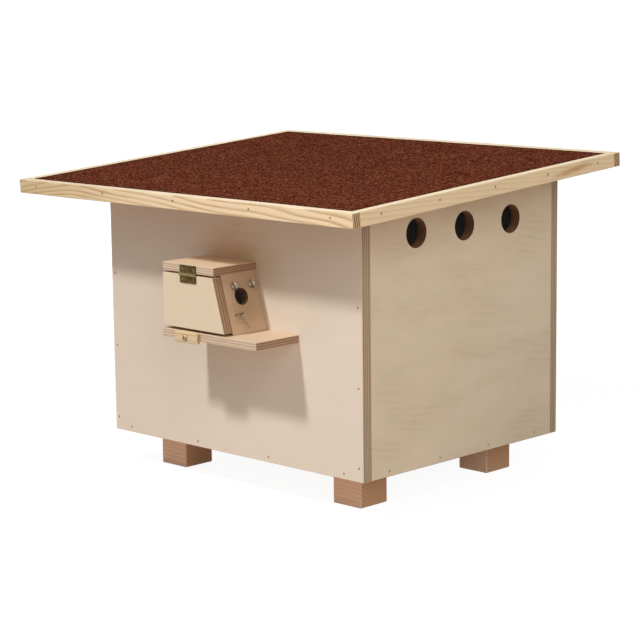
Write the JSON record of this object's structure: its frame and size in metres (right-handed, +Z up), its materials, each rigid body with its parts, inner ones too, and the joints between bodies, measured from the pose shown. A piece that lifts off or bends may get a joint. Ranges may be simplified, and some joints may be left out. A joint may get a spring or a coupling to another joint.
{
  "type": "bumblebee nest box",
  "caption": "Plywood bumblebee nest box on feet, with a sloping felted lift-off roof, side vents and a porch with a hinged door, turn latch and clear moth flap.",
  "frame": {"origin": "on the ground, under the middle of the roof's outline", "axes": "+X to the right seen from the porch, +Y to the rear, +Z up"},
  "size_m": [0.5202, 0.433, 0.3626],
  "materials": {
    "birch_plywood": "bare sanded birch plywood",
    "pine": "planed pine",
    "latch_wood": "planed wood",
    "larch": "planed larch",
    "roofing_felt": "mineral granules on bitumen felt",
    "hinge_brass": "aged brass",
    "bright_steel": "zinc-plated steel",
    "dark_gauze": "dark wire gauze",
    "clear_acrylic": "clear cast acrylic"
  },
  "bodies": {
    "base": {"front_panel": "birch_plywood", "rear_panel": "birch_plywood", "right_panel": "birch_plywood", "left_panel": "birch_plywood", "floor_panel": "birch_plywood", "foot_front_left": "larch", "foot_front_right": "larch", "foot_rear_left": "larch", "foot_rear_right": "larch", "panel_nails": "bright_steel", "foot_screws": "bright_steel", "vent_mesh_right": "dark_gauze", "vent_mesh_left": "dark_gauze", "mesh_staples": "bright_steel", "porch_shelf": "birch_plywood", "porch_roof": "birch_plywood", "porch_left_wall": "birch_plywood", "porch_right_wall": "birch_plywood", "porch_screws": "bright_steel", "hinge_upper_leaf": "hinge_brass", "hinge_pin": "hinge_brass", "hinge_upper_screws": "hinge_brass", "latch_screw": "bright_steel", "flap_eyes": "bright_steel"},
    "roof": {"roof_board": "birch_plywood", "roof_felt": "roofing_felt", "batten_front": "pine", "batten_rear": "pine", "batten_left": "pine", "batten_right": "pine", "batten_nails": "bright_steel", "cleat_front": "pine", "cleat_rear": "pine", "cleat_screws": "bright_steel"},
    "door": {"porch_door": "birch_plywood", "hinge_lower_leaf": "hinge_brass", "hinge_lower_screws": "hinge_brass"},
    "latch": {"turn_latch": "latch_wood"},
    "flap": {"moth_flap": "clear_acrylic", "flap_wire": "bright_steel"}
  },
  "joints": [
    {"name": "roof_lift", "type": "slide", "parent": "base", "child": "roof", "axis": [0, 0, 1], "range_m": [0, 0.25]},
    {"name": "door_hinge", "type": "hinge", "parent": "base", "child": "door", "pos_m": [0.00355, -0.20126, 0.2491], "axis": [-1, 0, 0], "range_deg": [0, 170]},
    {"name": "latch_turn", "type": "hinge", "parent": "base", "child": "latch", "pos_m": [0.003, -0.19981, 0.1815], "axis": [0, -1, 0], "continuous": true},
    {"name": "flap_swing", "type": "hinge", "parent": "base", "child": "flap", "pos_m": [0.04779, -0.16176, 0.23828], "axis": [0, -1, 0], "range_deg": [0, 150]}
  ]
}
